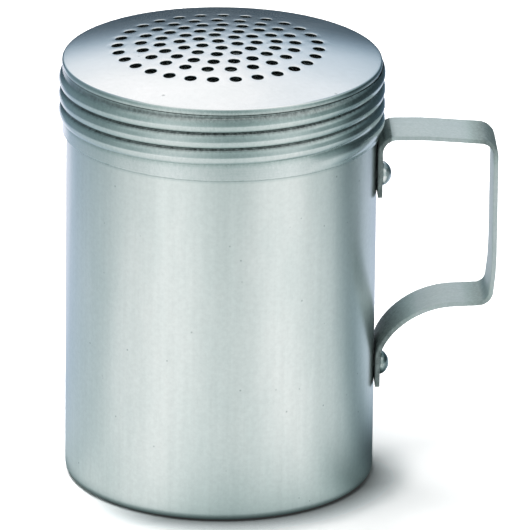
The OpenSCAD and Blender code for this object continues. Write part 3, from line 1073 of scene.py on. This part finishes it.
@dataclass(frozen=True)
class LightTent:
    """White cloth round the shaker, open at the top, that is lit unevenly. Only reflections see it."""

    radius: float = 420.0
    height: float = 800.0
    panels: tuple[Panel, ...] = (
        Panel(-135.0, 0.58, 0.60, 0.30, 0.30, 0.30, 0.35),
        Panel(-95.0, 0.58, 0.64, 0.30, 0.30, 0.34, 0.50),
        Panel(-66.0, 0.74, 0.86, 0.46, 0.46, 0.68, 0.85),
        Panel(-38.0, 0.84, 1.01, 0.78, 0.78, 0.85, 1.00),
        Panel(5.0, 0.52, 0.80, 0.40, 0.40, 0.45, 0.55),
        Panel(44.0, 0.58, 1.00, 0.74, 0.74, 0.85, 0.95),
        Panel(72.0, 0.16, 0.78, 0.36, 0.36, 0.90, 1.00),
        Panel(100.0, 0.04, 0.33, 0.06, 0.06, 0.40, 0.60),
        Panel(128.0, 0.12, 0.70, 0.08, 0.08, 0.22, 0.32),
        Panel(150.0, 0.20, 0.70, 0.12, 0.12, 0.50, 0.78),
        Panel(168.0, 0.30, 1.05, 1.10, 0.07, 0.72, 0.92),
        Panel(180.0, 0.30, 1.10, 1.10, 0.06, 0.85, 1.08),
        Panel(191.0, 0.30, 1.10, 1.10, 0.08, 0.86, 1.06),
        Panel(205.0, 0.30, 0.90, 0.90, 0.15, 0.75, 1.00),
    )

    def glow(self, bearing: float, radius: float, height: float) -> float:
        """Gives the strength at a bearing, on the table at a radius or on the cloth at a height."""
        ordered = list(self.panels)
        first = ordered[0].bearing
        turn = (bearing - first) % 360 + first
        ordered.append(replace(ordered[0], bearing=first + 360))
        for left, right in zip(ordered, ordered[1:]):
            if turn <= right.bearing:
                part = (turn - left.bearing) / (right.bearing - left.bearing)
                return blend(left.glow(radius, height), right.glow(radius, height), part)
        return ordered[-1].table

    def tint(self, strength: float, behind: float, height: float) -> tuple[float, float, float, float]:
        """Gives the light's colour: white where it is strong, cooler where it is weak, bluest behind."""
        part = min(1.0, max(0.0, (strength - 0.1) / 0.9))
        weak = (0.70 - 0.1 * behind, 1.0, 1.0 + 0.35 * behind)
        red, green, blue = (strength * (w + (1.0 - w) * part) for w in weak)
        return red, green, blue * (1.0 + 0.14 * behind if height < 1 else 1.0), 1.0

    def make(self) -> None:
        """Builds the tent's mesh with its colours and the cloth's finish."""
        rows = [(r, 0.25) for r in (31.6, 33.0, 35.0, 37.0, 42.0, 50.0, 60.0, 75.0, 92.0, 150.0, 235.0, 260.0, 285.0, 310.0)]
        rows += [(self.radius, 0.25)]
        rows += [(self.radius, z) for z in (8.0, *range(140, 401, 20), 560.0, self.height)]
        sides = 180
        points, colours, faces = [], [], []
        for j, (r, z) in enumerate(rows):
            for i in range(sides):
                t = TAU * i / sides
                points.append((r * MM * math.cos(t), r * MM * math.sin(t), z * MM))
                colours.extend(self.tint(self.glow(math.degrees(t) + 90, r, z), (0.5 + 0.5 * math.sin(t)) ** 3, z))
                if j:
                    k = (i + 1) % sides
                    faces.append(((j - 1) * sides + i, (j - 1) * sides + k, j * sides + k, j * sides + i))
        mesh = bpy.data.meshes.new("light_tent")
        mesh.from_pydata(points, [], faces)
        mark = mesh.attributes.new("glow", "FLOAT_COLOR", "POINT")
        mark.data.foreach_set("color", colours)
        thing = bpy.data.objects.new("light_tent", mesh)
        cloth = bpy.data.materials.new("Tent cloth")
        cloth.use_nodes = True
        tree = cloth.node_tree
        tree.nodes.clear()
        colour = add(tree, "ShaderNodeAttribute", attribute_name="glow").outputs["Color"]
        glow = add(tree, "ShaderNodeEmission", {"Color": colour, "Strength": 1.0}).outputs[0]
        add(tree, "ShaderNodeOutputMaterial", {"Surface": glow})
        mesh.materials.append(cloth)
        thing.visible_camera = False
        thing.visible_diffuse = False
        thing.visible_shadow = False
        thing.visible_transmission = False
        bpy.context.scene.collection.objects.link(thing)


@dataclass
class Studio:
    """White table and surround, a soft box, the light tent and the camera."""

    aim: Point = (9.540, -0.433, 46.26)
    distance: float = 2000.0
    elevation: float = 20.057
    azimuth: float = -2.6
    roll: float = 0.636
    scale: float = 4.6605
    boxes: tuple[Softbox, ...] = (
        Softbox("key_for_the_table", (-190.0, 175.0, 1000.0), (396.0, 1437.0), 8.5, mirrored=False),
    )
    tent: LightTent = LightTent()

    def rays(self, tree: bpy.types.NodeTree) -> bpy.types.NodeSocket:
        """Gives one for rays that show the background, straight or in metal, and zero for light."""
        path = add(tree, "ShaderNodeLightPath").outputs
        seen = add(tree, "ShaderNodeMath", {0: path["Is Camera Ray"], 1: path["Is Glossy Ray"]},
                   operation="MAXIMUM").outputs[0]
        return add(tree, "ShaderNodeMath", {0: seen, 1: path["Is Transmission Ray"]},
                   operation="MAXIMUM").outputs[0]

    def surround(self) -> None:
        """Makes the world white to the eye and a soft even light on the scene."""
        world = bpy.data.worlds.new("white surround")
        bpy.context.scene.world = world
        world.use_nodes = True
        tree = world.node_tree
        tree.nodes.clear()
        strength = add(tree, "ShaderNodeMapRange", {"Value": self.rays(tree), "To Min": 0.06, "To Max": 1.0}).outputs[0]
        glow = add(tree, "ShaderNodeBackground", {"Color": (1, 1, 1, 1), "Strength": strength}).outputs[0]
        add(tree, "ShaderNodeOutputWorld", {"Surface": glow})

    def floor(self) -> None:
        """Lays the white table top, with a contact shadow painted into its colour round the cup's foot: darkened by
        occlusion, kept to the front and right, and tinted cool.
        """
        mesh = bpy.data.meshes.new("table_top")
        mesh.from_pydata([(-9, -9, 0), (9, -9, 0), (9, 9, 0), (-9, 9, 0)], [], [(0, 1, 2, 3)])
        thing = bpy.data.objects.new("table_top", mesh)
        thing.location = (0, 0, -0.00002)
        bpy.context.scene.collection.objects.link(thing)
        paper = bpy.data.materials.new("White table paper")
        paper.use_nodes = True
        tree = paper.node_tree
        tree.nodes.clear()
        seen = self.rays(tree)
        lift = add(tree, "ShaderNodeMapRange", {"Value": seen, "To Min": 1.0, "To Max": 1.7}).outputs[0]
        # Painted contact shadow: the paper's colour is darkened by ambient occlusion within about 10 mm, faded out
        # towards the back left, and mixed towards a cool grey-blue (dbe9ec).
        near = add(tree, "ShaderNodeAmbientOcclusion", {"Distance": 0.0105}, samples=8).outputs["AO"]
        dark = add(tree, "ShaderNodeMath", {0: near, 1: 2.3}, operation="POWER").outputs[0]
        place = add(tree, "ShaderNodeTexCoord").outputs["Object"]
        shadow_side = add(tree, "ShaderNodeVectorMath", {0: place, 1: (0.4, -0.92, 0.0)}, operation="DOT_PRODUCT").outputs["Value"]
        shadow_side = add(tree, "ShaderNodeMapRange", {"Value": shadow_side, "From Min": 0.0, "From Max": 0.024}).outputs[0]
        painted_contact_shadow = add(tree, "ShaderNodeMapRange", {"Value": shadow_side, "To Min": 1.0, "To Max": dark}).outputs[0]
        level = add(tree, "ShaderNodeMath", {0: lift, 1: painted_contact_shadow}, operation="MULTIPLY").outputs[0]
        paper_and_shadow_tint = add(tree, "ShaderNodeMix", {0: painted_contact_shadow, 6: linear("dbe9ec"), 7: linear("f2f2f2")},
                          data_type="RGBA").outputs[2]
        tone = add(tree, "ShaderNodeVectorMath", {0: paper_and_shadow_tint, "Scale": level}, operation="SCALE").outputs[0]
        base = add(tree, "ShaderNodeBsdfDiffuse", {"Color": tone}).outputs[0]
        away = add(tree, "ShaderNodeVectorMath", {0: place}, operation="LENGTH").outputs["Value"]
        far = add(tree, "ShaderNodeMapRange", {
            "Value": away, "From Min": 0.15, "From Max": 0.6, "To Min": 0.03, "To Max": 1.0}).outputs[0]
        haze = add(tree, "ShaderNodeMath", {0: seen, 1: far}, operation="MULTIPLY").outputs[0]
        glow = add(tree, "ShaderNodeEmission", {"Color": (1, 1, 1, 1), "Strength": haze}).outputs[0]
        both = add(tree, "ShaderNodeAddShader", {0: base, 1: glow}).outputs[0]
        add(tree, "ShaderNodeOutputMaterial", {"Surface": both})
        mesh.materials.append(paper)

    def camera(self) -> None:
        """Stands the camera a little above the lid, far back, so the sides stay nearly upright."""
        e, a = math.radians(self.elevation), math.radians(self.azimuth)
        back = Vector((math.sin(a) * math.cos(e), -math.cos(a) * math.cos(e), math.sin(e)))
        right = Vector((math.cos(a), math.sin(a), 0))
        up = back.cross(right)
        roll = math.radians(self.roll)
        across = math.cos(roll) * right + math.sin(roll) * up
        upright = math.cos(roll) * up - math.sin(roll) * right
        lens = bpy.data.cameras.new("camera")
        lens.sensor_width = 36
        lens.lens = self.scale * self.distance / 530 * 36
        lens.clip_start, lens.clip_end = 0.05, 60
        eye = bpy.data.objects.new("camera", lens)
        bpy.context.scene.collection.objects.link(eye)
        spot = (Vector(self.aim) + back * self.distance) * MM
        frame = Matrix((across, upright, back)).transposed().to_4x4()
        frame.translation = spot
        eye.matrix_world = frame
        bpy.context.scene.camera = eye

    def build(self) -> None:
        """Sets the whole studio up."""
        scene = bpy.context.scene
        scene.view_settings.view_transform = "Standard"
        self.surround()
        self.floor()
        for thing in (*self.boxes, self.tent):
            thing.make()
        self.camera()


# ---------------------------------------------------------------- assembly


def main() -> None:
    """Loads the frame, builds and dresses every piece, and lights the scene."""
    logging.basicConfig(level=logging.INFO, format="%(name)s: %(message)s")
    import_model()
    finishes = Finishes()
    cup = finishes.cup.make()
    lid = finishes.lid.make()
    strap = finishes.strap.make()
    rivet = finishes.rivet.make()
    dress(Cup().build(), cup, "cup_aluminium", "cup_body", "cup")
    dress(Lid().build(lid), lid, "lid_aluminium", "lid_body", "lid")
    handle = StrapHandle(runs=(10.653, 22.546, 5.186))
    dress(handle.build(strap), strap, "strap_aluminium", "cup_body", "handle_strap")
    dress(RoundHeadRivets().build(rivet), rivet, "rivet_aluminium", "cup_body", "upper_rivet", "lower_rivet")
    Studio().build()


if __name__ == "__main__":
    main()
